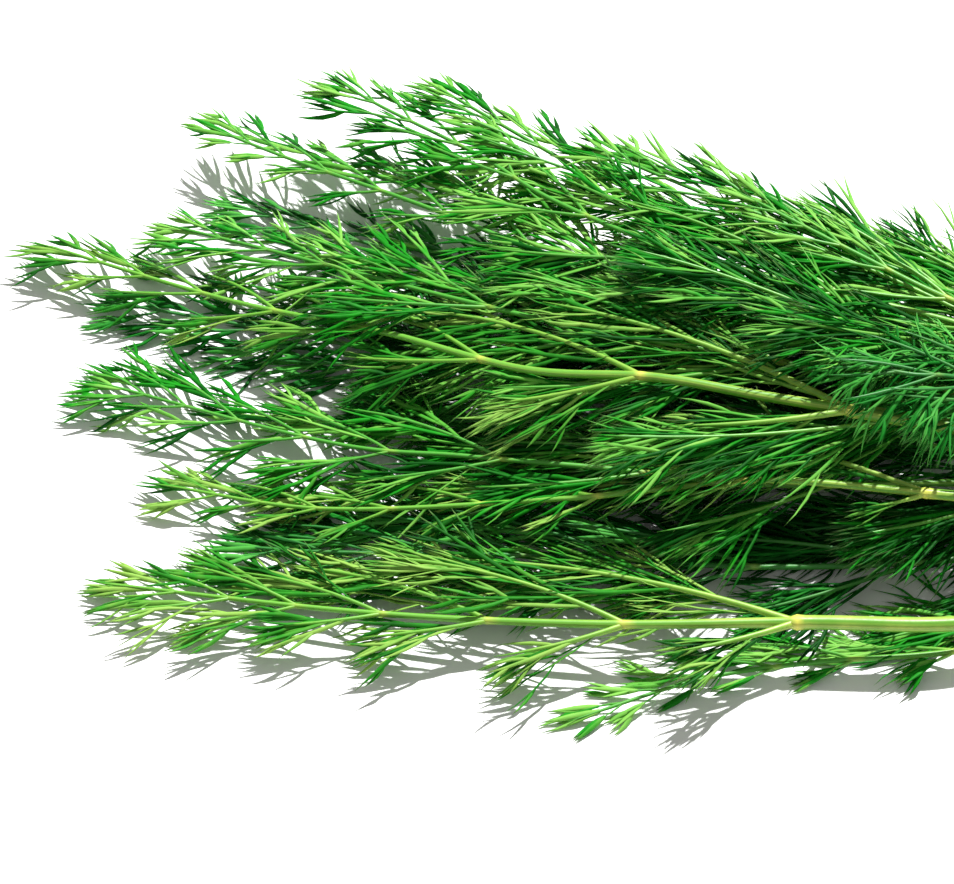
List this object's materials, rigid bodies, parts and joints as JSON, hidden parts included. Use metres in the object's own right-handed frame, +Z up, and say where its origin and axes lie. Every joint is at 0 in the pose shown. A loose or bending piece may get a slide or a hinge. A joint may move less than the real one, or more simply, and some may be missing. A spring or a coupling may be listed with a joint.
{
  "type": "bunch of fresh dill",
  "caption": "Fresh dill bunch lying on its side: smooth stalks gathered at one end, feathery thread-like leaves fanning out at the other.",
  "frame": {"origin": "on the surface that the bunch lies on, under the middle of its bounding box", "axes": "+X towards the cut ends of the stalks, +Z up, +Y to the back edge of the fan, away from the side that the picture was taken from"},
  "size_m": [0.4172, 0.2193, 0.0583],
  "materials": {
    "bright_green": "satin",
    "leaf_green": "satin",
    "blue_green": "satin"
  },
  "bodies": {
    "root": {"leafy_stem_front": "bright_green", "leafy_stem_low_front": "leaf_green", "leafy_stem_shaded": "blue_green", "leafy_stem_middle_low": "bright_green", "leafy_stem_middle": "leaf_green", "leafy_stem_bright": "bright_green", "leafy_stem_upper_middle": "leaf_green", "leafy_stem_upper_left": "leaf_green", "leafy_stem_top": "leaf_green", "leafy_stem_back": "leaf_green", "leafy_stem_back_right": "leaf_green", "leafy_stem_back_top": "leaf_green", "leafy_stem_curly": "blue_green", "leafy_stem_under": "blue_green", "leafy_stem_back_under": "blue_green"}
  },
  "joints": []
}
